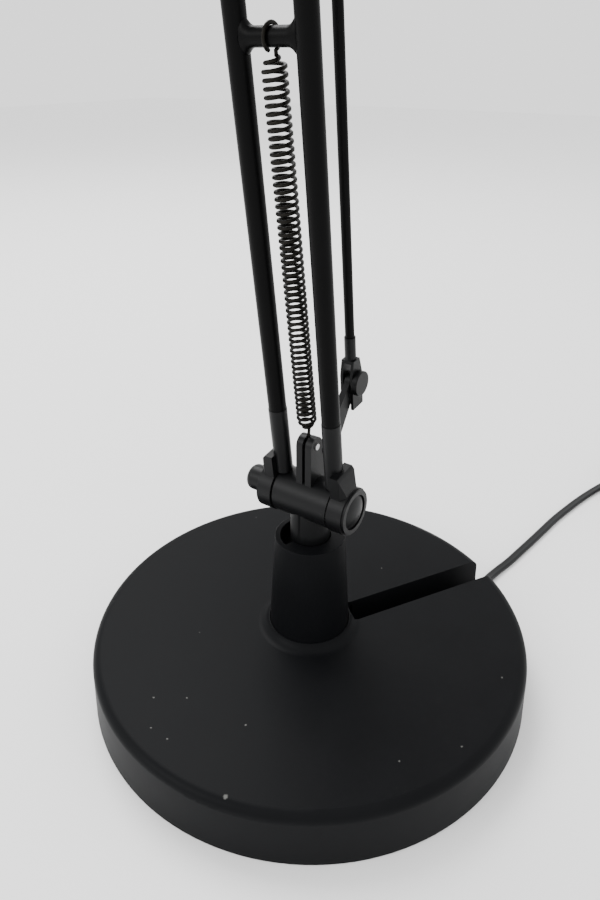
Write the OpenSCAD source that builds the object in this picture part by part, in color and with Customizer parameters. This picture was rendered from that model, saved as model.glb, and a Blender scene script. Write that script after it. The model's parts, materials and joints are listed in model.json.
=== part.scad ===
// Balanced-arm desk lamp on a heavy round base.
// Origin: centre of the underside. +Z is up, +X points over the desk, the joints turn about Y.
// Lengths in millimetres, angles in degrees.

/* [Base] */
// Diameter of the base at its top edge
base_d = 220; // [190:1:280]
// Height of the base
base_h = 28; // [26:0.5:36]
// How much the base widens towards its foot, all round
base_flare = 1.5; // [0:0.1:3]
// Radius of the rounded top edge
base_round = 4.5; // [3:0.5:6]
// Wall of the base cover
cover_wall = 2.5; // [2:0.1:3]
// Thickness of the iron weight
weight_h = 12; // [8:0.5:14]
// Width of the cord channel
channel_w = 13.5; // [10:0.5:16]
// Distance of the channel's centre line from the hub's axis
channel_off = 4; // [0:0.5:5]
// Direction of the channel, seen from above
channel_az = -31; // [-60:1:0]

/* [Hub] */
// Radius of the hub sleeve at its foot
hub_foot_r = 20.5; // [19:0.5:24]
// Radius of the hub sleeve at its top
hub_top_r = 17; // [16:0.5:19]
// Height of the hub sleeve's top face above the desk
hub_top = 83; // [70:1:110]
// Radius of the turning post
post_r = 9.5; // [9:0.1:11]
// Depth of the stop pocket in the hub's top face
pocket_h = 8; // [6:0.5:9]

/* [Joints] */
// Height of the lower pivot above the hub's top face
pivot_rise = 21.7; // [20.5:0.1:40]
// Radius of a pivot barrel
barrel_r = 11; // [9:0.5:11]
// Half the length of a pivot barrel
barrel_half = 14.5; // [12.5:0.5:20]
// Radius of the pivot bolts
bolt_r = 3; // [2.5:0.1:4]
// Thickness of a lug
lug_t = 7.6; // [6:0.1:9]
// Radius of the round part of a lug
lug_r = 11.5; // [11:0.5:14]

/* [Arms] */
// Length of the lower arm between its pivots
lower_len = 380; // [300:5:480]
// Length of the upper arm between its pivots
upper_len = 380; // [300:5:480]
// Lean of the lower arm from upright
lower_lean = 7.6; // [0:0.1:15]
// Rise of the upper arm above level
upper_rise = 20; // [0:1:40]
// Radius of the arm tubes
tube_r = 4; // [3.5:0.1:4.5]
// Wall of the arm tubes
tube_wall = 0.8; // [0.6:0.1:1.2]
// Radius of the crossbars
crossbar_r = 3.1; // [2.5:0.1:3.5]
// Radius of the link rods
link_r = 2.15; // [1.5:0.05:2.5]
// Distance from a pivot to the spring's crossbar
crossbar_at = 186.5; // [150:0.5:230]
// Outer radius of a spring
spring_r = 4.5; // [4:0.1:5.5]
// Thickness of the spring wire
wire_d = 1.2; // [1:0.1:1.4]

/* [Head] */
// Radius of the shade at its rim
shade_r = 85; // [75:1:95]
// Height of the shade's flare
shade_h = 120; // [105:1:160]
// Radius of the lamp housing
housing_r = 27; // [26:0.5:30]
// Wall of the shade
shade_wall = 1.2; // [0.8:0.1:2]
// Radius of the bulb's globe
globe_r = 30; // [22:1:32]

/* [Hidden] */
$fn = 64;
e = 0.01;
black = "#1b1c1e";
satin = "#2a2b2d";
steel = "#8b8d90";
iron = "#4a4a4c";

// Clearances
running = 0.05;  // between a pin and its bore, on the radius
gap = 0.4;       // between pieces that move past each other
fit = 0.1;       // between pieces that are fixed together

// Base
base_r = base_d / 2;
foot_r = base_r + base_flare;
pad_t = 1.5;
plate_t = 2;
plate_top = pad_t + plate_t;
cover_bottom = 0.6;
weight_top = plate_top + weight_h;
ceiling = base_h - cover_wall;
hub_bore = 16;
hub_flange_r = hub_foot_r + 5.5;
boss_round = 6;
boss_lip = 3.5;
screw_at = base_r * 0.72;
screw_r = 2;
clamp_at = 45;
lead_off = -0.3;
clamp_side = 6.6;
clamp_t = 5;

// Hub
spindle_r = post_r - 1.5;
bush_r = spindle_r + 2.5;
shelf = 40;
washer_t = 1.5;
thread_r = 6;
nut_h = 7;
lead_bore = 3;
pocket_wall = 2.6;
pocket_r = hub_top_r - pocket_wall;
pocket_from = -20;
pocket_sweep = 180;
bush_top = hub_top - pocket_h - 1;
tab_az = pocket_from + pocket_sweep / 2;

// Joints
lug_in = barrel_half + 0.9;
lug_out = lug_in + lug_t;
block_h = 21;
block_half = 6.5;
block_edge = 2.5;
block_slope = 2.5;
cap_r = 8.3;
cap_ring = 1.2;
cap_ring_r = 10.8;
nut_cap_r = 6.35;
nut_cap_len = 11.2;
nut_round = 3;
head_r = 5;
head_h = 3.4;
tube_y = barrel_half - 0.7;
stem_r = tube_r + 0.2;
stem_from = barrel_r + 0.6;
stem_to = 45;
spigot_r = tube_r - tube_wall - fit;
spigot_len = 12;
crank_half = 1.5;
link_pin_r = 2;
eye_r = 4.5;
cheek_t = 1.4;
fork_back = 13;
fork_h = 4.5;
fork_slot = 10.5;
neck_from = 12;
neck_to = 23;
neck_r = link_r + 0.5;
link_head_r = 6;
link_head_t = 2.7;
coil_from = 9;
ear_r = 4.5;
slit = wire_d + 0.3;
ear_out = slit / 2 + 3.25;
pin_r = 1.5;
anchor = [-1.5, 28.5];   // spring pin, seen from the pivot, in X and Z
crank = [34.5, 46];      // lower link pivot, seen from the lower arm's pivot
crank_up = [-20, 52];    // upper link pivot, seen from the upper arm's pivot
elbow_step = [6, 64];    // upper arm's pivot, seen from the lower arm's top pivot
tilt_step = [34, -14];   // tilt pivot, seen from the upper arm's outer pivot

// Pivots in the XZ plane, as [x, z]
function along(lean, s) = [s * sin(lean), s * cos(lean)];
low_turn = -lower_lean;
up_turn = 90 - upper_rise;
p0 = [0, hub_top + pivot_rise];
p1 = p0 + along(low_turn, lower_len);
p2 = p1 + elbow_step;
p3 = p2 + along(up_turn, upper_len);
p4 = p3 + tilt_step;

// Head, measured from the tilt pivot
housing_x = housing_r + 17;
housing_top = 22;
housing_bottom = -34;
housing_wall = 2;
housing_round = 6;
collar_h = 10;
rim_bead = 1.5;
cheek_in = 4 + gap;
cheek_out = cheek_in + 4;
button_r = 6.5;
button_top = housing_top + 4.5;

// Flat two-core cord
cord_w = 5.5;
cord_t = 3;
coil_c = [290, -130];
coil_r = 30;
coil_half = 5.75;
coil_h = 13;
plug_end = [252, -156, 7];
channel_route = [
  [6, -4, 20], [11, -7, 11], [19, -11.8, 6], [34, -20.8, 5.2], [58, -35.2, 5.2], [80, -48.5, 5.2],
  [96, -58, 5.2]
];
free_route = [
  [96, -58, 5.2], [103, -58.3, 4.4], [110, -57.2, 3.2], [118, -57.5, 2.2], [128, -59.3, 1.7],
  [140, -62, 1.6],
  [155, -64.5, 1.6], [170, -67, 1.6], [186, -69.5, 1.6], [202, -72, 1.6], [219, -75.5, 1.6],
  [236, -79.5, 1.6], [252, -84, 1.6], [267, -89, 1.6], [284, -95.5, 1.6], [299, -99, 1.6],
  [310, -104, 1.6]
];
tail_route = [
  [296, -162.3, 11], [287, -163, 10.8], [276, -162, 9.8], [264, -158.8, 8], [252, -156, 7]
];

// ---- helpers ----

// Round bar along Y between two Y values, at [x, z].
module bar_y(p, r, y0, y1) {
  translate([p[0], y0, p[1]]) rotate([-90, 0, 0]) cylinder(r = r, h = y1 - y0);
}

// Straight-sided plate that joins two points of the XZ plane, thickness from -half to half.
module web(p, q, rp, rq, half) {
  d = q - p;
  n = [-d[1], d[0]] / norm(d);
  rotate([90, 0, 0]) linear_extrude(height = 2 * half, center = true)
    polygon([p + n * rp, q + n * rq, q - n * rq, p - n * rp]);
}

// Place children in an arm's own frame: +Z runs from its first pivot to its second.
module arm_at(p, turn) {
  translate([p[0], 0, p[1]]) rotate([0, turn, 0]) children();
}

// Place children at an arm's far end, where they point back down the arm.
module arm_end(p, turn, len) {
  arm_at(p, turn) translate([0, 0, len]) mirror([0, 0, 1]) children();
}

function unit(v) = v / norm(v);
function blend4(a, b, c, d, t) =
  (2 * b + (c - a) * t + (2 * a - 5 * b + 4 * c - d) * t * t + (3 * b - a - 3 * c + d) * t * t * t) / 2;
function smooth(p, k) = concat(
  [for (i = [0 : len(p) - 2]) for (j = [0 : k - 1])
    blend4(p[max(i - 1, 0)], p[i], p[i + 1], p[min(i + 2, len(p) - 1)], j / k)],
  [p[len(p) - 1]]);

// Flat cord swept along a route, its broad side level.
module flat_cord(route) {
  q = smooth(route, 3);
  n = len(q);
  s = 8;
  rings = [for (i = [0 : n - 1])
    let (d = unit(q[min(i + 1, n - 1)] - q[max(i - 1, 0)]),
         side = unit(cross([0, 0, 1], d)),
         up = cross(d, side))
    for (k = [0 : s - 1])
      q[i] + side * cos(k * 360 / s) * cord_w / 2 + up * sin(k * 360 / s) * cord_t / 2];
  walls = [for (i = [0 : n - 2]) for (k = [0 : s - 1])
    [i * s + k, i * s + (k + 1) % s, (i + 1) * s + (k + 1) % s, (i + 1) * s + k]];
  first = [for (k = [s - 1 : -1 : 0]) k];
  last = [for (k = [0 : s - 1]) (n - 1) * s + k];
  polyhedron(points = rings, faces = concat([first], walls, [last]));
}

// ---- base ----

module channel_box(from, w, z0, z1) {
  rotate([0, 0, channel_az]) translate([from, -channel_off - w / 2, z0])
    cube([foot_r + 5 - from, w, z1 - z0]);
}

module screw_places() {
  for (a = [30, 150, 270]) rotate([0, 0, a]) translate([screw_at, 0, 0]) children();
}

module base_cover() {
  color(black) difference() {
    union() {
      rotate_extrude($fn = 180) difference() {
        union() {
          polygon([[hub_foot_r + fit, cover_bottom], [foot_r, cover_bottom], [base_r, base_h - base_round],
                   [base_r - base_round, base_h], [hub_foot_r + fit, base_h]]);
          translate([base_r - base_round, base_h - base_round]) circle(r = base_round);
        }
        polygon([[0, 0], [foot_r - cover_wall, 0], [base_r - cover_wall, base_h - base_round],
                 [base_r - base_round, ceiling], [0, ceiling]]);
      }
      rotate_extrude($fn = 120) difference() {
        translate([hub_foot_r + fit, ceiling]) square([boss_round, cover_wall + boss_lip]);
        translate([hub_foot_r + fit + boss_round, base_h + boss_round]) circle(r = boss_round);
      }
      intersection() {
        difference() {
          channel_box(hub_flange_r + 1, channel_w + 2 * cover_wall, plate_top + fit, ceiling + 1);
          channel_box(0, channel_w, 0, base_h);
        }
        cylinder(r = base_r - cover_wall / 2, h = base_h);
      }
      screw_places() translate([0, 0, weight_top]) cylinder(r = 5, h = ceiling - weight_top + e);
    }
    channel_box(hub_foot_r + 0.5, channel_w, -1, base_h + 10);
    screw_places() translate([0, 0, weight_top - 1]) cylinder(r = screw_r + running, h = 8);
  }
}

module base_weight() {
  color(iron) difference() {
    translate([0, 0, plate_top]) cylinder(r = base_r - 10, h = weight_h, $fn = 120);
    translate([0, 0, plate_top - 1]) cylinder(r = hub_bore, h = weight_h + 2);
    channel_box(0, channel_w + 2 * cover_wall + 0.6, 0, base_h);
    screw_places() cylinder(r = screw_r + 0.3, h = base_h);
  }
}

module base_plate() {
  color(steel) difference() {
    translate([0, 0, pad_t]) cylinder(r = foot_r - cover_wall - 0.5, h = plate_t, $fn = 120);
    screw_places() cylinder(r = screw_r + 0.3, h = base_h);
    clamp_place() cylinder(r = 1.4 + running, h = 10);
  }
}

module base_pad() {
  color("#26262a") cylinder(r = foot_r - 5, h = pad_t, $fn = 120);
}

module clamp_place() {
  rotate([0, 0, channel_az]) translate([clamp_at, lead_off - clamp_side, pad_t]) children();
}

module base_screws() {
  color(steel) {
    screw_places() translate([0, 0, pad_t]) cylinder(r = screw_r, h = weight_top - pad_t + 6);
    clamp_place() cylinder(r = 1.4, h = clamp_t + plate_t + 1.2);
    clamp_place() translate([0, 0, clamp_t + plate_t]) cylinder(r = 2.4, h = 1.2);
  }
}

// Bar screwed down beside the cord, with a step that holds it.
module cord_clamp() {
  near = lead_off - cord_w / 2 - gap;
  color(satin) difference() {
    rotate([0, 0, channel_az]) difference() {
      translate([clamp_at - 4, near - 6.6, plate_top]) cube([8, 6.6 + cord_w + gap, clamp_t]);
      translate([clamp_at - 5, near, plate_top - 1]) cube([10, cord_w + 2, cord_t + 1.4]);
    }
    clamp_place() cylinder(r = 1.4 + running, h = 20);
  }
}

module channel_lead() {
  color(black) flat_cord(channel_route);
}

module hub_sleeve() {
  color(black) difference() {
    rotate_extrude($fn = 120) polygon([
        [hub_bore, weight_top], [hub_flange_r, weight_top], [hub_flange_r, ceiling],
        [hub_foot_r, ceiling], [hub_foot_r, base_h], [hub_top_r, hub_top],
        [post_r + gap, hub_top], [post_r + gap, bush_top], [bush_r + fit, bush_top],
        [bush_r + fit, shelf], [hub_bore, shelf]]);
    rotate([0, 0, pocket_from]) rotate_extrude(angle = pocket_sweep, $fn = 120)
      translate([post_r - 1, hub_top - pocket_h]) square([pocket_r - post_r + 1, pocket_h + 1]);
    channel_box(hub_foot_r + 0.5, channel_w, 0, base_h + 10);
  }
}

module hub_bush() {
  color("#d8d4c8") rotate_extrude() polygon([
    [spindle_r + running, shelf], [bush_r, shelf], [bush_r, bush_top], [spindle_r + running, bush_top]]);
}

// ---- knuckle ----

// Two ears with a slit between them, and a hole for the spring's pin.
module spring_ears(p) {
  a = p + anchor;
  for (s = [-1, 1]) {
    translate([0, s * (ear_out + slit / 2) / 2, 0]) {
      web([a[0], p[1]], a, ear_r, ear_r, (ear_out - slit / 2) / 2);
      bar_y(a, ear_r, -(ear_out - slit / 2) / 2, (ear_out - slit / 2) / 2);
    }
  }
}

module crank_arm(p, q) {
  web(p, q, barrel_r * 0.7, eye_r - 1, crank_half);
  bar_y(q, eye_r, -crank_half, crank_half);
}

module barrel(p) {
  bar_y(p, barrel_r, -barrel_half, barrel_half);
}

module knuckle_bores(p, q) {
  bar_y(p, bolt_r + running, -barrel_half - 1, barrel_half + 1);
  bar_y(q, link_pin_r + running, -crank_half - 1, crank_half + 1);
  bar_y(p + anchor, pin_r + running, -ear_out - 1, ear_out + 1);
}

module knuckle() {
  post_foot = bush_top + gap;
  tab_foot = hub_top - pocket_h + gap;
  color(satin) difference() {
    union() {
      barrel(p0);
      spring_ears(p0);
      crank_arm(p0, p0 + crank);
      translate([0, 0, post_foot]) cylinder(r = post_r, h = p0[1] - post_foot);
      translate([0, 0, shelf - 0.3]) cylinder(r = spindle_r, h = post_foot - shelf + 0.4);
      translate([0, 0, shelf - 12]) cylinder(r = thread_r, h = 13);
      rotate([0, 0, tab_az]) translate([post_r - 1, -2, tab_foot])
        cube([pocket_r - gap - post_r + 1, 4, hub_top - 1 - tab_foot]);
    }
    knuckle_bores(p0, p0 + crank);
    translate([0, 0, shelf - 13]) cylinder(r = lead_bore, h = hub_top - shelf + 19);
    translate([0, 0, hub_top + 6]) rotate([0, 90, 0]) cylinder(r = lead_bore, h = 20);
  }
}

module knuckle_nut() {
  color(steel) translate([0, 0, shelf - 0.3 - washer_t - nut_h]) difference() {
    cylinder(r = 10, h = nut_h, $fn = 6);
    translate([0, 0, -1]) cylinder(r = thread_r + running, h = nut_h + 2);
  }
}

module knuckle_washer() {
  color(steel) translate([0, 0, shelf - 0.3 - washer_t]) difference() {
    cylinder(r = 14, h = washer_t);
    translate([0, 0, -1]) cylinder(r = thread_r + running, h = washer_t + 2);
  }
}

module spring_pin(p) {
  color(steel) bar_y(p + anchor, pin_r, -ear_out - 0.6, ear_out + 0.6);
}

module lower_spring_pin() {
  spring_pin(p0);
}

// ---- arm pieces, in the arm's own frame ----

// Lug for the +Y side: round eye, bevelled block, stem and the spigot inside the tube.
module lug_solid() {
  bar_y([0, 0], lug_r, lug_in, lug_out);
  intersection() {
    linear_extrude(height = block_h) polygon([
      [-block_half, lug_in - 1], [block_half, lug_in - 1], [block_half, lug_out - block_edge],
      [block_half - block_edge, lug_out], [block_edge - block_half, lug_out],
      [-block_half, lug_out - block_edge]]);
    rotate([90, 0, 90]) linear_extrude(height = 2 * lug_r, center = true) polygon([
      [lug_in, -1], [lug_out + 1, -1], [lug_out + 1, lug_r * 0.6], [lug_out - block_slope, block_h - 1.5],
      [lug_out - block_slope - 1.5, block_h + 0.5], [lug_in, block_h + 0.5]]);
  }
  translate([0, tube_y, stem_from]) cylinder(r = stem_r, h = stem_to - stem_from);
  translate([0, tube_y, stem_to - e]) cylinder(r = spigot_r, h = spigot_len);
}

module lug_left() {
  color(satin) difference() {
    lug_solid();
    bar_y([0, 0], bolt_r + fit, lug_in - 1, lug_out + 1);
  }
}

module lug_right() {
  color(satin) mirror([0, 1, 0]) difference() {
    union() {
      lug_solid();
      bar_y([0, 0], cap_ring_r, lug_out - 1, lug_out + cap_ring);
    }
    bar_y([0, 0], bolt_r + fit, lug_in - 1, lug_out + 1);
    bar_y([0, 0], cap_r + fit, lug_in + 2.2, lug_out + cap_ring + 1);
  }
}

module pivot_bolt() {
  bar_y([0, 0], bolt_r, -lug_in - 2.2 - e, lug_out + 8);
  bar_y([0, 0], head_r, -lug_in - 2.2 - head_h, -lug_in - 2.2);
}

module cap_nut() {
  difference() {
    translate([0, lug_out, 0]) rotate([-90, 0, 0]) union() {
      cylinder(r = nut_cap_r, h = nut_cap_len - nut_round);
      translate([0, 0, nut_cap_len - nut_round]) rotate_extrude() {
        square([nut_cap_r - nut_round, nut_round]);
        intersection() {
          translate([nut_cap_r - nut_round, 0]) circle(r = nut_round);
          square([nut_cap_r, nut_round]);
        }
      }
    }
    bar_y([0, 0], bolt_r + fit, lug_out - 1, lug_out + 8.2);
  }
}

module dome_cap() {
  ball_r = 18;
  dome = ball_r - sqrt(ball_r * ball_r - cap_r * cap_r);
  base_y = lug_in + 2.2 + head_h + 0.2;
  top_y = lug_out + cap_ring + 1.2;
  mirror([0, 1, 0]) intersection() {
    bar_y([0, 0], cap_r, base_y, top_y);
    translate([0, top_y - ball_r, 0]) sphere(r = ball_r, $fn = 128);
  }
}

module pivot_washers() {
  for (s = [-1, 1]) scale([1, s, 1]) difference() {
    bar_y([0, 0], 8.5, lug_in - 0.6, lug_in);
    bar_y([0, 0], bolt_r + fit, 0, lug_out);
  }
}

module arm_tube(len, side) {
  color(black) translate([0, side * tube_y, stem_to + fit]) difference() {
    cylinder(r = tube_r, h = len - 2 * (stem_to + fit));
    translate([0, 0, -1]) cylinder(r = tube_r - tube_wall, h = len);
  }
}

module crossbar() {
  color(black) difference() {
    bar_y([0, crossbar_at], crossbar_r, -tube_y, tube_y);
    for (s = [-1, 1]) translate([0, s * tube_y, crossbar_at - 20]) cylinder(r = tube_r + 0.02, h = 40);
  }
}

module arm_lead(len) {
  color(steel) translate([0, -tube_y, stem_to + spigot_len + 1])
    cylinder(r = tube_r - tube_wall - 0.8, h = len - 2 * (stem_to + spigot_len + 1));
}

// Closed-wound tension spring from a pin to the crossbar, with a loop at each end.
module spring(p, turn) {
  from = p + anchor;
  to = p + along(turn, crossbar_at);
  d = to - from;
  reach = norm(d);
  top_loop = crossbar_r + wire_d / 2 + 0.1;
  low_loop = pin_r + wire_d / 2 + 0.1;
  coil_len = reach - top_loop - coil_from - 1.5;
  color(steel) translate([from[0], 0, from[1]]) rotate([0, atan2(d[0], d[1]), 0]) {
    translate([0, 0, coil_from]) difference() {
      cylinder(r = spring_r, h = coil_len);
      translate([0, 0, wire_d]) cylinder(r = spring_r - wire_d, h = coil_len - 2 * wire_d);
    }
    translate([0, 0, low_loop]) cylinder(r = wire_d / 2, h = coil_from + 0.1 - low_loop);
    rotate([90, 0, 0]) rotate_extrude() translate([low_loop, 0]) circle(r = wire_d / 2, $fn = 16);
    translate([0, 0, reach]) rotate([90, 0, 0]) rotate_extrude() translate([top_loop, 0])
      circle(r = wire_d / 2, $fn = 16);
    translate([0, 0, reach - top_loop - 2]) cylinder(r = wire_d / 2, h = 2);
  }
}

// ---- link pieces, in the link's own frame ----

// Fork: two cheeks beside the crank's eye, a block, and a tapered neck that grips the rod.
module link_fork() {
  in = crank_half + gap;
  out = in + cheek_t;
  color(satin) difference() {
    union() {
      translate([-eye_r, -out, -fork_back]) cube([2 * eye_r, 2 * out, fork_back + fork_h]);
      web([0, fork_h - e], [0, neck_from], eye_r, neck_r, out);
      translate([0, 0, neck_from - 1]) cylinder(r = neck_r, h = neck_to - neck_from + 1);
    }
    translate([-eye_r - 1, -in, -fork_back - 1]) cube([2 * eye_r + 2, 2 * in, fork_back + 1 + fork_slot]);
    bar_y([0, 0], link_pin_r + fit, -out - 1, out + 1);
    translate([0, 0, fork_slot]) cylinder(r = link_r + fit, h = 20);
  }
}

module link_rod(len) {
  from = fork_slot + 1;
  color(black) translate([0, 0, from]) cylinder(r = link_r, h = len - 2 * from);
}

// Pin with a broad flat head on the -Y side.
module link_pin() {
  out = crank_half + gap + cheek_t;
  color(steel) {
    bar_y([0, 0], link_pin_r, -out - e, out + 0.8);
    bar_y([0, 0], link_head_r, -out - link_head_t, -out);
  }
}

// ---- lower arm and its link ----

module lower_foot_lug_left() { arm_at(p0, low_turn) lug_left(); }
module lower_foot_lug_right() { arm_at(p0, low_turn) lug_right(); }
module lower_head_lugs() { arm_end(p0, low_turn, lower_len) { lug_left(); lug_right(); } }
module lower_tube_left() { arm_at(p0, low_turn) arm_tube(lower_len, 1); }
module lower_tube_right() { arm_at(p0, low_turn) arm_tube(lower_len, -1); }
module lower_crossbar() { arm_at(p0, low_turn) crossbar(); }
module lower_spring() { spring(p0, low_turn); }
module lower_arm_lead() { arm_at(p0, low_turn) arm_lead(lower_len); }

module arm_pair(p, turn, len) {
  arm_at(p, turn) children();
  arm_end(p, turn, len) children();
}

module lower_arm_bolts() { color(steel) arm_pair(p0, low_turn, lower_len) pivot_bolt(); }
module lower_arm_cap_nuts() { color(satin) arm_pair(p0, low_turn, lower_len) cap_nut(); }
module lower_arm_dome_caps() { color(satin) arm_pair(p0, low_turn, lower_len) dome_cap(); }
module lower_arm_washers() { color("#d8d4c8") arm_pair(p0, low_turn, lower_len) pivot_washers(); }
module lower_link_rod() { arm_at(p0 + crank, low_turn) link_rod(lower_len); }
module lower_link_forks() { arm_pair(p0 + crank, low_turn, lower_len) link_fork(); }
module lower_link_pins() { arm_pair(p0 + crank, low_turn, lower_len) link_pin(); }

// ---- elbow ----

module elbow_bracket() {
  color(satin) difference() {
    union() {
      barrel(p1);
      barrel(p2);
      web(p1, p2, barrel_r * 0.8, barrel_r * 0.8, 4);
      crank_arm(p2, p1 + crank);
      crank_arm(p2, p2 + crank_up);
      spring_ears(p2);
    }
    knuckle_bores(p2, p2 + crank_up);
    bar_y(p1, bolt_r + running, -barrel_half - 1, barrel_half + 1);
    bar_y(p1 + crank, link_pin_r + running, -crank_half - 1, crank_half + 1);
  }
}

module upper_spring_pin() {
  spring_pin(p2);
}

// ---- upper arm and its link ----

module upper_foot_lugs() { arm_at(p2, up_turn) { lug_left(); lug_right(); } }
module upper_head_lugs() { arm_end(p2, up_turn, upper_len) { lug_left(); lug_right(); } }
module upper_tube_left() { arm_at(p2, up_turn) arm_tube(upper_len, 1); }
module upper_tube_right() { arm_at(p2, up_turn) arm_tube(upper_len, -1); }
module upper_crossbar() { arm_at(p2, up_turn) crossbar(); }
module upper_spring() { spring(p2, up_turn); }
module upper_arm_lead() { arm_at(p2, up_turn) arm_lead(upper_len); }
module upper_arm_bolts() { color(steel) arm_pair(p2, up_turn, upper_len) pivot_bolt(); }
module upper_arm_cap_nuts() { color(satin) arm_pair(p2, up_turn, upper_len) cap_nut(); }
module upper_arm_dome_caps() { color(satin) arm_pair(p2, up_turn, upper_len) dome_cap(); }
module upper_arm_washers() { color("#d8d4c8") arm_pair(p2, up_turn, upper_len) pivot_washers(); }
module upper_link_rod() { arm_at(p2 + crank_up, up_turn) link_rod(upper_len); }
module upper_link_forks() { arm_pair(p2 + crank_up, up_turn, upper_len) link_fork(); }
module upper_link_pins() { arm_pair(p2 + crank_up, up_turn, upper_len) link_pin(); }

// ---- head ----

module head_bracket() {
  color(satin) difference() {
    union() {
      barrel(p3);
      crank_arm(p3, p3 + crank_up);
      web(p3, p4, barrel_r * 0.75, 8, 4);
      bar_y(p4, 9, -4, 4);
    }
    bar_y(p3, bolt_r + running, -barrel_half - 1, barrel_half + 1);
    bar_y(p3 + crank_up, link_pin_r + running, -crank_half - 1, crank_half + 1);
    bar_y(p4, bolt_r + running, -5, 5);
  }
}

module at_tilt() { translate([p4[0], 0, p4[1]]) children(); }
module at_housing() { at_tilt() translate([housing_x, 0, 0]) children(); }

module head_knuckle() {
  color(satin) at_tilt() difference() {
    union() {
      for (s = [-1, 1]) translate([0, s * (cheek_in + cheek_out) / 2, 0]) {
        bar_y([0, 0], 10, -2, 2);
        translate([0, -2, -9]) cube([16, 4, 18]);
      }
      translate([11, -cheek_out, -9]) cube([10, 2 * cheek_out, 18]);
    }
    bar_y([0, 0], bolt_r + fit, -cheek_out - 1, cheek_out + 1);
    translate([housing_x, 0, -15]) cylinder(r = housing_r + 0.05, h = 30, $fn = 96);
  }
}

module tilt_bolt() {
  color(steel) at_tilt() {
    bar_y([0, 0], bolt_r, -cheek_out - 9, cheek_out + e);
    bar_y([0, 0], head_r + 0.5, cheek_out, cheek_out + 3);
  }
}

// Six-lobed clamping knob.
module tilt_knob() {
  color(black) at_tilt() difference() {
    union() {
      bar_y([0, 0], 10, -cheek_out - 14, -cheek_out - gap);
      for (a = [0 : 60 : 300]) bar_y([9 * cos(a), 9 * sin(a)], 3, -cheek_out - 13, -cheek_out - 3);
    }
    bar_y([0, 0], bolt_r + running, -cheek_out - 9.5, 0);
  }
}

module housing() {
  color(black) at_housing() difference() {
    rotate_extrude($fn = 96) difference() {
      union() {
        polygon([[0, housing_bottom], [housing_r, housing_bottom], [housing_r, housing_top - housing_round],
                 [housing_r - housing_round, housing_top], [0, housing_top]]);
        translate([housing_r - housing_round, housing_top - housing_round]) circle(r = housing_round);
      }
      polygon([[0, housing_bottom - 1], [housing_r - housing_wall, housing_bottom - 1],
               [housing_r - housing_wall, housing_top - housing_round],
               [housing_r - housing_round, housing_top - housing_wall], [0, housing_top - housing_wall]]);
    }
    cylinder(r = button_r + 0.4, h = housing_top + 5);
    for (a = [-120 : 30 : 120]) rotate([0, 0, a]) translate([housing_r - 5, -1.25, -20]) cube([10, 2.5, 16]);
  }
}

function flare(a, r) = [
  housing_r + fit + r + (shade_r - housing_r - fit - shade_wall) * sin(a),
  housing_bottom - shade_h + (shade_h + r) * cos(a)];

module shade() {
  steps = 28;
  collar_r = housing_r + fit;
  color(black) at_housing() union() {
    rotate_extrude($fn = 128) polygon(concat(
      [[collar_r, housing_bottom + collar_h], [collar_r + shade_wall, housing_bottom + collar_h]],
      [for (i = [0 : steps]) flare(90 * i / steps, shade_wall)],
      [for (i = [steps : -1 : 0]) flare(90 * i / steps, 0)]));
    translate([0, 0, housing_bottom - shade_h]) rotate_extrude($fn = 128)
      translate([shade_r - shade_wall / 2, 0]) circle(r = rim_bead, $fn = 24);
  }
}

module lampholder() {
  color("#e6e4de") at_housing() difference() {
    union() {
      translate([0, 0, -46]) cylinder(r = 19, h = 48);
      cylinder(r = housing_r - housing_wall - fit, h = 2);
    }
    translate([0, 0, -47]) cylinder(r = 13.6, h = 27);
  }
}

module bulb() {
  globe_z = -68 - globe_r;
  neck_r = 15;
  drop = sqrt(globe_r * globe_r - neck_r * neck_r);
  color("#f4f1e6") at_housing() union() {
    rotate_extrude($fn = 96)
      polygon([[0, -22], [13.2, -22], [13.2, -47], [neck_r, -52], [neck_r, globe_z + drop - 1], [0, globe_z]]);
    translate([0, 0, globe_z]) sphere(r = globe_r, $fn = 96);
  }
}

module switch_body() {
  color(satin) at_housing() translate([0, 0, 2.1]) cylinder(r = 9, h = 11);
}

module switch_button() {
  color("#3a3a3d") at_housing() translate([0, 0, 17]) cylinder(r = button_r, h = button_top - 17);
}

// ---- free cord ----

module cord_tube() {
  color(black) {
    flat_cord(free_route);
    flat_cord(tail_route);
  }
}

module cord_coil() {
  color(black) translate(coil_c) rotate_extrude($fn = 96)
    translate([coil_r - coil_half, 0]) square([2 * coil_half, coil_h]);
}

module cord_tie() {
  color(satin) translate(coil_c) rotate([0, 0, -20]) translate([coil_r - coil_half - 1.2, -4, 0])
    difference() {
      cube([2 * coil_half + 2.4, 8, coil_h + 1.2]);
      translate([1.2, -1, 0.8]) cube([2 * coil_half, 10, coil_h - 0.8]);
    }
}

module plug_body() {
  color(black) translate(plug_end) rotate([0, 0, 180]) {
    rotate([0, 90, 0]) cylinder(r1 = 3.6, r2 = 6, h = 20);
    hull() {
      translate([19, -8, -5]) cube([1, 16, 10]);
      translate([30, -17, -6]) cube([24, 34, 12]);
    }
  }
}

module plug_pins() {
  color(steel) translate(plug_end) rotate([0, 0, 180]) for (s = [-1, 1])
    translate([54, s * 9.3, 0]) rotate([0, 90, 0]) cylinder(r = 2, h = 19);
}

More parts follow.
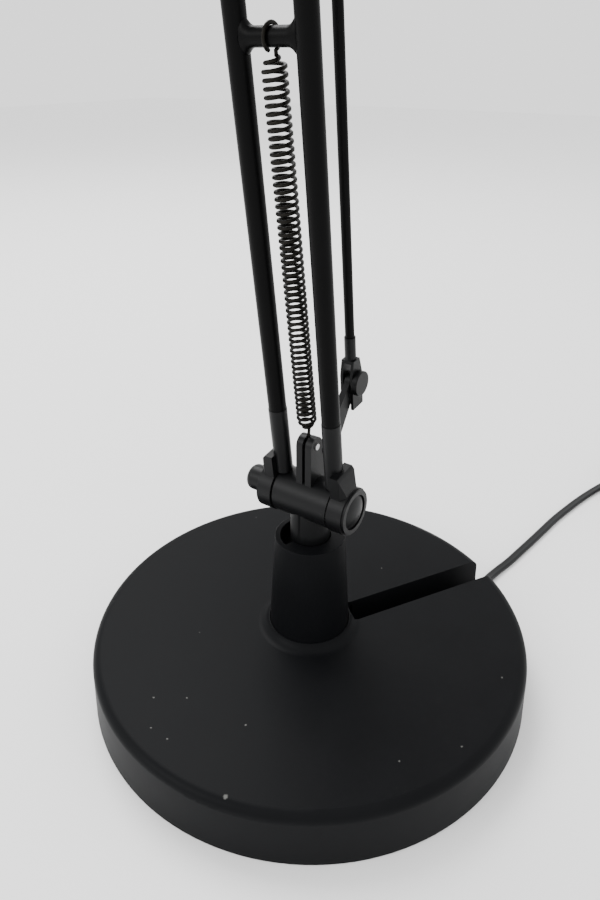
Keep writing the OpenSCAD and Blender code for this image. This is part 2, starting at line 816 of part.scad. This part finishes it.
base_cover();
base_weight();
base_plate();
base_pad();
base_screws();
hub_sleeve();
hub_bush();
channel_lead();
cord_clamp();
knuckle();
knuckle_nut();
knuckle_washer();
lower_spring_pin();
lower_foot_lug_left();
lower_foot_lug_right();
lower_head_lugs();
lower_tube_left();
lower_tube_right();
lower_crossbar();
lower_spring();
lower_arm_bolts();
lower_arm_cap_nuts();
lower_arm_dome_caps();
lower_arm_washers();
lower_arm_lead();
lower_link_rod();
lower_link_forks();
lower_link_pins();
elbow_bracket();
upper_spring_pin();
upper_foot_lugs();
upper_head_lugs();
upper_tube_left();
upper_tube_right();
upper_crossbar();
upper_spring();
upper_arm_bolts();
upper_arm_cap_nuts();
upper_arm_dome_caps();
upper_arm_washers();
upper_arm_lead();
upper_link_rod();
upper_link_forks();
upper_link_pins();
head_bracket();
head_knuckle();
tilt_bolt();
tilt_knob();
housing();
shade();
lampholder();
bulb();
switch_body();
switch_button();
cord_tube();
cord_coil();
cord_tie();
plug_body();
plug_pins();
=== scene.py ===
# %% [markdown]
# # A balanced-arm desk lamp
# The lamp's pieces were built to size in a CAD program, and they arrive here as a fixed frame: every
# object is in metres, with the centre of the base's underside at the origin and +Z up. This file adds
# what CAD doesn't hold: the camera, the light, the flex at its full length, the wound springs, softened
# edges and every finish.

# %% Load the frame
import json
import math
import random
import bmesh
import bpy
from mathutils import Matrix, Vector

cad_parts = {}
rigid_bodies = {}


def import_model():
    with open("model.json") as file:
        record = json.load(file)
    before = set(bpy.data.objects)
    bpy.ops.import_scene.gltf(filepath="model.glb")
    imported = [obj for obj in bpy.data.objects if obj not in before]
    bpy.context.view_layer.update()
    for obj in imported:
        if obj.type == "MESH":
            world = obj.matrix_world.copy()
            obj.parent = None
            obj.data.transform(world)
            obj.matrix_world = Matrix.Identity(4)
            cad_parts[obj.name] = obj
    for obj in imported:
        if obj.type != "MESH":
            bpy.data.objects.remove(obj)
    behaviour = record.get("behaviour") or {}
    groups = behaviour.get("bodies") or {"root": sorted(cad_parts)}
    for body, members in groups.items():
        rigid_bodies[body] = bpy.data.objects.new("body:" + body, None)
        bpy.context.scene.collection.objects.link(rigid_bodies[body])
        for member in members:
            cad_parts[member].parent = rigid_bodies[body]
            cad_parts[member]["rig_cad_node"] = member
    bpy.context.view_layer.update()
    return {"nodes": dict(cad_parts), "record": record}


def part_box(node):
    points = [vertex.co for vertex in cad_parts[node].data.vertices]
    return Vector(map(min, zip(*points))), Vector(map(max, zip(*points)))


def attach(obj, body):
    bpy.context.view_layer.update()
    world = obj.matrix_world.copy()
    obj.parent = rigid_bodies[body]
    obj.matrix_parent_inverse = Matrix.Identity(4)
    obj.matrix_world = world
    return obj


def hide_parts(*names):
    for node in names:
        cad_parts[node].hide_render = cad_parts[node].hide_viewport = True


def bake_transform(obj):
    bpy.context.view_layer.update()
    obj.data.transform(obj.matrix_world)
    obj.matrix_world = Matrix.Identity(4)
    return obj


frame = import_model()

nodes = frame["nodes"]
mm = 0.001

# %% [markdown]
# ## The camera
# A camera that stands close to a thing shows it with strong perspective. This one is 40 cm from the hub,
# looks down at the base over its far edge, and crops the lamp just above the lower joint. It comes
# first, because the spare flex has to lie where it can't see.

# %% Place the camera
camera_place = Vector((-0.2301, -0.1494, 0.2849))
look_azimuth = math.radians(34.02)
look_down = math.radians(29.53)
look = Vector((math.cos(look_azimuth) * math.cos(look_down),
               math.sin(look_azimuth) * math.cos(look_down), -math.sin(look_down)))
camera = bpy.data.objects.new("camera", bpy.data.cameras.new("camera"))
camera.data.sensor_fit = "VERTICAL"
camera.data.sensor_height = 36
camera.data.lens = 28
camera.data.clip_start = 0.01
camera.location = camera_place
camera.rotation_euler = look.to_track_quat("-Z", "Y").to_euler()
bpy.context.scene.collection.objects.link(camera)
bpy.context.scene.camera = camera
print("camera at", [round(v, 3) for v in camera.location])

# %% [markdown]
# ## A helper for wire and flex
# A cord, a spring and a hook are all one shape: a small outline carried along a path. Blender's curve
# objects can do that, but a mesh sweep gives full control of which way a flat section lies. At each
# point the sweep needs two directions across the path. A flat cord takes them from the vertical, so
# that its broad side stays level. A round wire can carry them on from the last point, so that it never
# twists.

# %% Sweep an outline along a path
def blend_points(points, steps):
    """A smooth line through all the points, with steps samples between each pair."""
    out = []
    for i in range(len(points) - 1):
        a, b = points[max(i - 1, 0)], points[i]
        c, d = points[i + 1], points[min(i + 2, len(points) - 1)]
        for k in range(steps):
            t = k / steps
            out.append(0.5 * (2 * b + (c - a) * t + (2 * a - 5 * b + 4 * c - d) * t * t
                              + (3 * b - a - 3 * c + d) * t ** 3))
    return out + [points[-1].copy()]


def sweep(name, path, outline, level=False):
    """A mesh tube: outline is a list of (across, up) offsets, carried along path."""
    mesh = bmesh.new()
    rings = []
    across = None
    count = len(path)
    for i, point in enumerate(path):
        along = (path[min(i + 1, count - 1)] - path[max(i - 1, 0)]).normalized()
        if level:
            across = Vector((0, 0, 1)).cross(along).normalized()
        elif across is None:
            across = along.orthogonal().normalized()
        else:
            across = (across - along * across.dot(along)).normalized()
        up = along.cross(across)
        rings.append([mesh.verts.new(point + across * x + up * y) for x, y in outline])
    size = len(outline)
    for first, second in zip(rings, rings[1:]):
        for k in range(size):
            mesh.faces.new((first[k], first[(k + 1) % size], second[(k + 1) % size], second[k]))
    mesh.faces.new(rings[0][::-1])
    mesh.faces.new(rings[-1])
    return finish_mesh(name, mesh)


def finish_mesh(name, mesh):
    """Turn a bmesh into an object, with its faces pointing outwards."""
    bmesh.ops.recalc_face_normals(mesh, faces=mesh.faces)
    data = bpy.data.meshes.new(name)
    mesh.to_mesh(data)
    mesh.free()
    for face in data.polygons:
        face.use_smooth = True
    piece = bpy.data.objects.new(name, data)
    bpy.context.scene.collection.objects.link(piece)
    return piece


def circle(radius, sides):
    return [(radius * math.cos(2 * math.pi * k / sides), radius * math.sin(2 * math.pi * k / sides))
            for k in range(sides)]


def length_of(path):
    return sum((b - a).length for a, b in zip(path, path[1:]))


# %% [markdown]
# ## The flex
# The lamp has a flat two-core flex, 5.5 mm wide and 3 mm thick, with a groove where the two cores meet.
# It runs out of the hub through the channel in the base, drops to the desk and lies in one lazy curve.
# The points near the base were given as round numbers, to how the real flex lies, and the rest
# to how a hand would lay it. The spare length is wound in a coil beside the lamp, and only that part
# follows a rule: each turn lies beside or on the last.

# %% The flex's outline
core_r = 1.5 * mm
core_gap = 1.25 * mm
groove = 1.40 * mm


def flex_outline():
    """Two round cores side by side, joined in the middle with a shallow groove."""
    lobe = [math.radians(a) for a in range(-115, 116, 23)]
    right = [(core_gap + core_r * math.cos(a), core_r * math.sin(a)) for a in lobe]
    left = [(-x, -y) for x, y in right]
    return right + [(0, groove)] + left + [(0, -groove)]


# %% The flex's route
def in_metres(points):
    return [Vector(p) * mm for p in points]


channel_route = in_metres([
    (6, -4, 20), (11, -7, 11), (19, -11.8, 6), (34, -20.8, 5.2), (58, -35.2, 5.2), (80, -48.5, 5.2),
    (96, -58, 5.2)])
free_route = in_metres([
    (96, -58, 5.2), (103, -58.3, 4.4), (110, -57.2, 3.2), (118, -57.5, 2.2), (128, -59.3, 1.7),
    (140, -62, 1.6), (155, -64.5, 1.6), (170, -67, 1.6), (186, -69.5, 1.6), (202, -72, 1.6),
    (219, -75.5, 1.6), (236, -79.5, 1.6), (252, -84, 1.6), (267, -89, 1.6), (284, -95.5, 1.6),
    (299, -99, 1.6)])
tail_route = in_metres([
    (287, -163, 10.8), (276, -162, 9.8), (264, -158.8, 8), (252, -156, 7)])
coil_centre = Vector((290, -130, 0)) * mm
coil_out, coil_in = 32.9 * mm, 27.1 * mm
layer = 3.2 * mm
lift = 1.6 * mm
coil_from, coil_to = 52.4, -79.5 - 7 * 360
change_every = 338
climb_over, shift_over = 36, 50


def ease(t):
    t = min(max(t, 0), 1)
    return t * t * (3 - 2 * t)


def coil_point(angle):
    """Where the flex is after winding clockwise from coil_from to angle, in degrees."""
    swept = coil_from - angle
    radius, height = coil_out, lift
    for change in range(1, 8):
        middle = change * change_every
        if change % 2 == 0:
            height += layer * ease((swept - middle) / climb_over + 0.5)
        else:
            inward = change in (1, 5)
            step = (coil_in - coil_out) * (1 if inward else -1)
            radius += step * ease((swept - middle) / shift_over + 0.5)
    turn = math.radians(angle)
    return coil_centre + Vector((radius * math.cos(turn), radius * math.sin(turn), height))


turn_points = 30
coil_count = round((coil_from - coil_to) / 360 * turn_points)
coil_path = [coil_point(coil_from + (coil_to - coil_from) * i / coil_count) for i in range(coil_count + 1)]
free_path = blend_points(free_route + [coil_path[0]], 6)[:-1]
tail_path = blend_points([coil_path[-1]] + tail_route, 6)[1:]
flex_path = free_path + coil_path + tail_path
print("free flex:", round(length_of(flex_path), 3), "m; in the channel:",
      round(length_of(blend_points(channel_route, 6)), 3), "m")

# %% Make the flex
flex = sweep("flex", flex_path, flex_outline(), level=True)
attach(flex, "base")
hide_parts("cord_tube", "cord_coil")
channel_flex = sweep("channel_flex", blend_points(channel_route, 6), flex_outline(), level=True)
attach(channel_flex, "base")
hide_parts("channel_lead")

# %% [markdown]
# ## The plug
# A moulded two-pin plug is one soft lump round its flex: a tapered sleeve with grip rings, shoulders
# that widen, and a rounded nose. It is a row of rounded-rectangle sections joined into one skin, which
# is how a modeller lofts a bottle.

# %% Loft the plug
plug_end = Vector((252, -156, 7)) * mm


def rounded_section(half_w, half_h, corner, sides=8):
    """A rectangle with round corners, as (across, up) points."""
    points = []
    for quarter in range(4):
        sx = 1 if quarter in (0, 3) else -1
        sy = 1 if quarter in (0, 1) else -1
        for k in range(sides + 1):
            a = math.radians(90 * quarter + 90 * k / sides)
            points.append((sx * (half_w - corner) + corner * math.cos(a),
                           sy * (half_h - corner) + corner * math.sin(a)))
    return points


def make_plug():
    mesh = bmesh.new()
    rows = [(0, 3.4, 2.4, 2.3)]
    for ring in range(5):
        at = 1.5 + ring * 3.8
        grow = 0.45 * ring
        rows += [(at, 3.5 + grow, 2.7 + grow, 2.5), (at + 1.9, 3.6 + grow, 2.8 + grow, 2.6),
                 (at + 2.1, 3.1 + grow, 2.3 + grow, 2.2), (at + 3.6, 3.1 + grow, 2.3 + grow, 2.2)]
    rows += [(21, 7.6, 4.6, 3.8), (25, 11.6, 5.3, 4.6), (30, 15.4, 5.8, 5.2), (35, 16.8, 6, 5.4),
             (46, 16.8, 6, 5.4), (51.5, 16.4, 5.8, 5.2), (53.4, 15.2, 5, 4.6), (54, 13.6, 4, 3.6)]
    rings = []
    for s, half_w, half_h, corner in rows:
        section = rounded_section(half_w * mm, half_h * mm, corner * mm)
        rings.append([mesh.verts.new(plug_end + Vector((-s * mm, x, y))) for x, y in section])
    for first, second in zip(rings, rings[1:]):
        for k in range(len(first)):
            j = (k + 1) % len(first)
            mesh.faces.new((first[k], first[j], second[j], second[k]))
    mesh.faces.new(rings[0])
    mesh.faces.new(rings[-1])
    return finish_mesh("plug", mesh)


plug = make_plug()
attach(plug, "base")
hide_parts("plug_body")

# %% [markdown]
# ## The springs
# Each arm is held up by a long tension spring between a pin on the bracket below and the crossbar
# between the tubes. The CAD model has a plain tube there. The real spring is stiff wire: 57 open turns,
# a cone where the turns close in on the lower hook, and a loop at each end. One function makes both
# springs, with the path worked out from where the pin and the crossbar are.

# %% Wind a spring
wire_r = 0.7 * mm
spring_r = 4.5 * mm - wire_r
spring_turns = 57
turn_steps = 16
coil_starts = 9 * mm
neck_r = 1.4 * mm
top_gap = 1.6 * mm
hook_from, hook_sweep, hook_steps, hook_drift = 250, 340, 16, 0.35 * mm
loop_from, loop_sweep, loop_steps, loop_drift = -80, 330, 18, 0.7 * mm
bar_r = 3.1 * mm
slack = 0.1 * mm


def middle(node):
    low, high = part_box(node)
    return (low + high) / 2


def spring_path(reach, low_loop, top_loop):
    """The wire's path in the spring's own frame: +Z from the lower pin to the crossbar."""
    path = []
    for k in range(hook_steps, 1, -1):
        a = math.radians(hook_from - hook_sweep * k / hook_steps)
        path.append(Vector((low_loop * math.cos(a), hook_drift * (2 * k / hook_steps - 1),
                            low_loop * math.sin(a))))
    start, stop = coil_starts, reach - top_loop - top_gap
    steps = spring_turns * turn_steps
    for k in range(steps + 1):
        t = k / steps
        a = 2 * math.pi * k / turn_steps
        cone = ease(t * spring_turns / 2.2 + 0.1) * ease((1 - t) * spring_turns / 1.5 + 0.15)
        radius = neck_r + (spring_r - neck_r) * cone
        path.append(Vector((radius * math.cos(a), radius * math.sin(a), start + (stop - start) * t)))
    for k in range(loop_steps + 1):
        a = math.radians(loop_from + loop_sweep * k / loop_steps)
        path.append(Vector((top_loop * math.cos(a), loop_drift * (2 * k / loop_steps - 1),
                            reach + top_loop * math.sin(a))))
    return path


def make_spring(name, pin, crossbar, cad_node):
    low, high = middle(pin), middle(crossbar)
    pin_low, pin_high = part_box(pin)
    reach = (high - low).length
    low_loop = (pin_high.x - pin_low.x) / 2 + wire_r + slack
    top_loop = bar_r + wire_r + slack
    tilt = Matrix.Rotation(math.atan2(high.x - low.x, high.z - low.z), 4, "Y")
    path = [low + tilt @ p for p in spring_path(reach, low_loop, top_loop)]
    spring = sweep(name, path, circle(wire_r, 8))
    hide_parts(cad_node)
    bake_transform(spring)
    print(name, "reaches", round(reach / mm, 1), "mm with", round(length_of(path), 2), "m of wire")
    return spring


springs = [
    make_spring("lower_spring_coil", "lower_spring_pin", "lower_crossbar",
                "lower_spring"),
    make_spring("upper_spring_coil", "upper_spring_pin", "upper_crossbar",
                "upper_spring")]

# %% [markdown]
# ## The crossbars
# Each pair of tubes is joined by a crossbar that the spring hooks over. It is brazed on, and the braze
# leaves a small fillet that spreads along each tube. The visual bar is a round bar whose sections grow
# tall and stay narrow as they near a tube.

# %% Flare the crossbars
tube_reach = 1.5 * mm
fillet_long, fillet_tall, fillet_curve = 3.5 * mm, 2.2 * mm, 2.5
lean = {"lower": -7.6, "upper": 70}
bar_cuts, bar_sides = 24, 32


def flared_bar(arm):
    low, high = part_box(arm + "_crossbar")
    half = (high.y - low.y) / 2
    tilt = Matrix.Rotation(math.radians(lean[arm]), 4, "Y")
    mesh = bmesh.new()
    rings = []
    for k in range(2 * bar_cuts + 1):
        y = half * (k / bar_cuts - 1)
        near = min(max((abs(y) - (half - tube_reach - fillet_long)) / fillet_long, 0), 1)
        tall = bar_r + fillet_tall * near ** fillet_curve
        rings.append([mesh.verts.new((low + high) / 2 + tilt @ Vector((x, y, z * tall / bar_r)))
                      for x, z in circle(bar_r, bar_sides)])
    for first, second in zip(rings, rings[1:]):
        for k in range(bar_sides):
            j = (k + 1) % bar_sides
            mesh.faces.new((first[k], first[j], second[j], second[k]))
    mesh.faces.new(rings[0])
    mesh.faces.new(rings[-1])
    bar = finish_mesh(arm + "_bar_brazed", mesh)
    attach(bar, arm + "_arm")
    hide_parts(arm + "_crossbar")
    return bar


bars = [flared_bar("lower"), flared_bar("upper")]
print(len(bars), "crossbars with fillets")

# %% [markdown]
# ## Softened edges
# Nothing moulded, cast or pressed has a perfectly sharp edge, and the thin bright line that a rounded
# edge catches is what makes a black object readable. The CAD meshes must not change, so each piece that
# shows is copied, its loose seams are welded, and a Bevel modifier rounds the copy's sharp edges.

# %% Copy a piece with rounded edges
def soften(node, width, body, segments=3, angle=32):
    """A copy of a CAD node with its sharp edges rounded to width, which stands for the node."""
    source = nodes[node]
    mesh = bmesh.new()
    mesh.from_mesh(source.data)
    bmesh.ops.remove_doubles(mesh, verts=mesh.verts, dist=0.004 * mm)
    bmesh.ops.dissolve_limit(mesh, angle_limit=math.radians(0.5), verts=mesh.verts, edges=mesh.edges)
    data = bpy.data.meshes.new(node + "_soft")
    mesh.to_mesh(data)
    mesh.free()
    piece = bpy.data.objects.new(node + "_soft", data)
    bpy.context.scene.collection.objects.link(piece)
    for face in data.polygons:
        face.use_smooth = True
    bevel = piece.modifiers.new("edge", "BEVEL")
    bevel.width = width
    bevel.segments = segments
    bevel.limit_method = "ANGLE"
    bevel.angle_limit = math.radians(angle)
    normals = piece.modifiers.new("normals", "WEIGHTED_NORMAL")
    normals.keep_sharp = True
    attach(piece, body)
    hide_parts(node)
    return piece


body_of = {n: body for body, names in frame["record"]["behaviour"]["bodies"].items() for n in names}
slot_of = {part["node"]: part["material_slot"] for part in frame["record"]["subparts"]}
edge_width = {
    0.8: ["housing", "tilt_knob"],
    0.6: ["hub_sleeve", "knuckle", "elbow_bracket", "head_bracket", "head_knuckle", "lower_foot_lug_left",
          "lower_foot_lug_right", "lower_head_lugs", "upper_foot_lugs", "upper_head_lugs"],
    0.35: ["lower_link_forks", "upper_link_forks", "lower_link_pins", "upper_link_pins", "switch_button",
           "lower_arm_cap_nuts", "upper_arm_cap_nuts", "lower_arm_dome_caps", "upper_arm_dome_caps",
           "tilt_bolt", "cord_tie", "cord_clamp", "plug_pins"],
}
soft = {}
for width, names in edge_width.items():
    for n in names:
        soft[n] = soften(n, width * mm, body_of[n])
print(len(soft), "pieces have softened edges")

# %% [markdown]
# ## Finishes
# Every finish is made from nodes, so it has no picture to stretch or repeat. They share one recipe: a
# colour that drifts a little, a roughness that drifts too, and a fine bump at the real scale of the
# surface. The pattern is laid out in object coordinates, in metres, so a scale of 1000 makes grains one
# millimetre across.

# %% One recipe for a painted or moulded surface
def new_finish(name):
    finish = bpy.data.materials.new(name)
    finish.use_nodes = True
    tree = finish.node_tree
    shader = tree.nodes["Principled BSDF"]
    place = tree.nodes.new("ShaderNodeTexCoord")
    return finish, tree, shader, place.outputs["Object"]


def grain(tree, place, scale, detail=3, stretch=None):
    """Noise over the surface; stretch squeezes it along an axis, as brushing does."""
    if stretch:
        mapping = tree.nodes.new("ShaderNodeMapping")
        mapping.inputs["Scale"].default_value = stretch
        tree.links.new(place, mapping.inputs["Vector"])
        place = mapping.outputs["Vector"]
    noise = tree.nodes.new("ShaderNodeTexNoise")
    noise.inputs["Scale"].default_value = scale
    noise.inputs["Detail"].default_value = detail
    tree.links.new(place, noise.inputs["Vector"])
    return noise.outputs["Fac"]


def between(tree, amount, low, high):
    """A number that goes from low to high as amount goes from 0.3 to 0.7."""
    spread = tree.nodes.new("ShaderNodeMapRange")
    spread.inputs["From Min"].default_value = 0.3
    spread.inputs["From Max"].default_value = 0.7
    spread.inputs["To Min"].default_value = low
    spread.inputs["To Max"].default_value = high
    tree.links.new(amount, spread.inputs["Value"])
    return spread.outputs["Result"]


def two_tone(tree, amount, dark, light):
    mix = tree.nodes.new("ShaderNodeMix")
    mix.data_type = "RGBA"
    mix.inputs["A"].default_value = (*dark, 1)
    mix.inputs["B"].default_value = (*light, 1)
    tree.links.new(amount, mix.inputs["Factor"])
    return mix


def relief(tree, shader, height, distance, strength=1.0):
    bump = tree.nodes.new("ShaderNodeBump")
    bump.inputs["Distance"].default_value = distance
    bump.inputs["Strength"].default_value = strength
    tree.links.new(height, bump.inputs["Height"])
    tree.links.new(bump.outputs["Normal"], shader.inputs["Normal"])


def surface(name, dark, light, rough, grain_scale, grain_depth, metallic=0.0, coat=0.0, stretch=None,
            specular=0.5, drift=60):
    """The shared recipe: drifting colour and roughness, and a fine grain of a given depth."""
    finish, tree, shader, place = new_finish(name)
    cloud = grain(tree, place, drift)
    tree.links.new(two_tone(tree, cloud, dark, light).outputs["Result"], shader.inputs["Base Color"])
    fine = grain(tree, place, grain_scale, 4, stretch)
    tree.links.new(between(tree, fine, rough[0], rough[1]), shader.inputs["Roughness"])
    relief(tree, shader, fine, grain_depth)
    shader.inputs["Metallic"].default_value = metallic
    shader.inputs["Coat Weight"].default_value = coat
    shader.inputs["Coat Roughness"].default_value = 0.25
    shader.inputs["Specular IOR Level"].default_value = specular
    return finish


# %% [markdown]
# ## The base's paint
# The base has a satin black powder coat that has lived on a workbench. Under the light it shows a fine
# even grain, a few pale specks of dust, and one chip in front. A seeded dice throws the specks, so they
# land in the same places each time. Each is a bearing from the hub, a share of the way to the rim, and
# a size.

# %% Mix the base paint
base_low, base_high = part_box("base_cover")
base_r = (base_high.x - base_low.x) / 2
cover_top = base_low.z + 27.4 * mm
ragged_by = 1.1 * mm
dice = random.Random(5)
specks = [(dice.uniform(-180, 180), dice.uniform(0.4, 0.93), dice.uniform(0.4, 0.6)) for _ in range(14)]
front_chip = (-165, 0.95, 1.2)
speck_colour = (0.10, 0.10, 0.095)


def base_paint():
    finish, tree, shader, place = new_finish("base_paint")
    cloud = grain(tree, place, 45, 2)
    colour = two_tone(tree, cloud, (0.0034, 0.0036, 0.0041), (0.0050, 0.0053, 0.0060)).outputs["Result"]
    ragged = tree.nodes.new("ShaderNodeVectorMath")
    ragged.operation = "ADD"
    wobble = tree.nodes.new("ShaderNodeTexNoise")
    wobble.inputs["Scale"].default_value = 1400
    shrink = tree.nodes.new("ShaderNodeVectorMath")
    shrink.operation = "SCALE"
    shrink.inputs["Scale"].default_value = ragged_by
    tree.links.new(place, wobble.inputs["Vector"])
    tree.links.new(wobble.outputs["Color"], shrink.inputs[0])
    tree.links.new(place, ragged.inputs[0])
    tree.links.new(shrink.outputs["Vector"], ragged.inputs[1])
    for bearing, share, size in specks + [front_chip]:
        a = math.radians(bearing)
        spot = tree.nodes.new("ShaderNodeVectorMath")
        spot.operation = "DISTANCE"
        spot.inputs[1].default_value = (base_r * share * math.cos(a) + ragged_by / 2,
                                        base_r * share * math.sin(a) + ragged_by / 2,
                                        cover_top + ragged_by / 2)
        tree.links.new(ragged.outputs["Vector"], spot.inputs[0])
        inside = tree.nodes.new("ShaderNodeMapRange")
        inside.inputs["From Min"].default_value = size * mm
        inside.inputs["From Max"].default_value = 0.5 * size * mm
        tree.links.new(spot.outputs["Value"], inside.inputs["Value"])
        mix = two_tone(tree, inside.outputs["Result"], (0, 0, 0), speck_colour)
        tree.links.new(colour, mix.inputs["A"])
        colour = mix.outputs["Result"]
    tree.links.new(colour, shader.inputs["Base Color"])
    fine = grain(tree, place, 1500, 3)
    tree.links.new(between(tree, cloud, 0.44, 0.47), shader.inputs["Roughness"])
    relief(tree, shader, fine, 0.06 * mm, 0.5)
    shader.inputs["Specular IOR Level"].default_value = 0.05
    return finish

# %% [markdown]
# ## The rest of the finishes
# The moulded brackets are satin black plastic with a touch of sheen. The tubes have a smoother, darker
# paint, and the flex is soft plastic that shines along its cores. The wire of the springs is bare steel
# darkened by oil. Shade and holder carry white inside, to throw the light back.

# %% Make the finishes
finishes = {
    "base_paint": base_paint(),
    "cast_iron": surface("cast_iron", (0.05, 0.05, 0.052), (0.09, 0.088, 0.085), (0.6, 0.8), 900, 0.25 * mm,
                         metallic=0.4),
    "plate_steel": surface("plate_steel", (0.42, 0.42, 0.43), (0.56, 0.56, 0.56), (0.26, 0.4), 700,
                           0.015 * mm, metallic=1.0, stretch=(1, 1, 12)),
    "pad_foam": surface("pad_foam", (0.014, 0.014, 0.016), (0.024, 0.024, 0.026), (0.85, 0.98), 1800,
                        0.2 * mm),
    "nylon": surface("nylon", (0.62, 0.60, 0.55), (0.70, 0.68, 0.62), (0.4, 0.5), 500, 0.02 * mm),
    "black_plastic": surface("black_plastic", (0.0022, 0.0023, 0.0026), (0.0034, 0.0036, 0.0040),
                             (0.36, 0.44), 1600, 0.014 * mm, specular=0.15),
    "tube_paint": surface("tube_paint", (0.0009, 0.0009, 0.0010), (0.0015, 0.0015, 0.0016), (0.36, 0.44),
                          900, 0.008 * mm, specular=0.06),
    "spring_steel": surface("spring_steel", (0.006, 0.0055, 0.0045), (0.014, 0.013, 0.011), (0.36, 0.48),
                            1100, 0.01 * mm, metallic=0.8, specular=0.15),
    "cord_pvc": surface("cord_pvc", (0.0026, 0.0028, 0.0034), (0.0040, 0.0043, 0.0052), (0.34, 0.40), 700,
                        0.010 * mm, specular=0.22),
    "shade_paint": surface("shade_paint", (0.0026, 0.0026, 0.0028), (0.0040, 0.0040, 0.0043),
                           (0.30, 0.36), 1100, 0.01 * mm, specular=0.2),
    "holder_white": surface("holder_white", (0.74, 0.73, 0.70), (0.80, 0.79, 0.76), (0.22, 0.3), 400,
                            0.01 * mm),
    "bulb_opal": surface("bulb_opal", (0.86, 0.85, 0.80), (0.90, 0.89, 0.85), (0.12, 0.16), 300,
                         0.004 * mm, coat=0.4),
    "pin_brass": surface("pin_brass", (0.55, 0.47, 0.30), (0.66, 0.57, 0.37), (0.2, 0.3), 900, 0.01 * mm,
                         metallic=1.0),
}
shade_white = surface("shade_white", (0.76, 0.76, 0.74), (0.82, 0.82, 0.80), (0.35, 0.45), 900, 0.01 * mm)
switch_grey = surface("switch_grey", (0.012, 0.012, 0.013), (0.018, 0.018, 0.019), (0.4, 0.48), 1200,
                      0.01 * mm)
print(len(finishes) + 2, "finishes")


# %% Give every piece its finish
def wear(piece, finish):
    piece.data.materials.clear()
    piece.data.materials.append(finish)


for name, node in nodes.items():
    wear(node, finishes[slot_of[name]])
for name, piece in soft.items():
    wear(piece, finishes[slot_of[name]])
for piece in (flex, channel_flex, plug):
    wear(piece, finishes["cord_pvc"])
for piece in springs:
    wear(piece, finishes["spring_steel"])
for piece in bars:
    wear(piece, finishes["tube_paint"])
wear(soft["switch_button"], switch_grey)

# %% [markdown]
# ## The shade's white lining
# The shade is one spun sheet with two coats: black outside and white inside. The same sheet can wear
# both, because each face of the mesh knows which way it looks. Faces that look towards the shade's
# axis, or down into it, take the white.

# %% Line the shade
shade = nodes["shade"].copy()
shade.data = nodes["shade"].data.copy()
shade.name = "shade_spun"
bpy.context.scene.collection.objects.link(shade)
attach(shade, "head")
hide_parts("shade")
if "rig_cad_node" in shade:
    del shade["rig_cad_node"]
shade.data.materials.append(shade_white)
shade_axis = middle("shade")
lined = 0
for face in shade.data.polygons:
    outward = face.center - shade_axis
    outward.z = 0
    if face.normal.dot(outward.normalized()) < -0.05:
        face.material_index = 1
        lined += 1
    face.use_smooth = True
print(lined, "of", len(shade.data.polygons), "faces of the shade are white")

# %% [markdown]
# ## Floor and light
# Product light for a black object is mostly about what it reflects. A pale floor and a bright, even
# surround give the soft grey that the base's top shows, and one large lamp overhead draws the bright
# line along each rounded edge.

# %% Set the stage
def plain_floor():
    bpy.ops.mesh.primitive_plane_add(size=8, location=(0, 0, 0))
    floor = bpy.context.object
    floor.name = "floor"
    finish, tree, shader, place = new_finish("floor_white")
    shader.inputs["Base Color"].default_value = (0.94, 0.94, 0.94, 1)
    shader.inputs["Roughness"].default_value = 0.9
    floor.data.materials.append(finish)


def soft_light(name, place, aim, size, power):
    lamp = bpy.data.lights.new(name, "AREA")
    lamp.shape = "DISK"
    lamp.size = size
    lamp.energy = power
    holder = bpy.data.objects.new(name, lamp)
    holder.location = place
    holder.rotation_euler = (Vector(aim) - Vector(place)).to_track_quat("-Z", "Y").to_euler()
    bpy.context.scene.collection.objects.link(holder)


plain_floor()
world = bpy.data.worlds.new("studio")
bpy.context.scene.world = world
world.use_nodes = True
world.node_tree.nodes["Background"].inputs["Color"].default_value = (1, 1, 1, 1)
world.node_tree.nodes["Background"].inputs["Strength"].default_value = 1.6
soft_light("key", (0.5, 0.9, 1.6), (0, 0, 0.05), 1.0, 26)
soft_light("side", (-1.2, 0.6, 0.9), (0, 0, 0.1), 0.8, 9)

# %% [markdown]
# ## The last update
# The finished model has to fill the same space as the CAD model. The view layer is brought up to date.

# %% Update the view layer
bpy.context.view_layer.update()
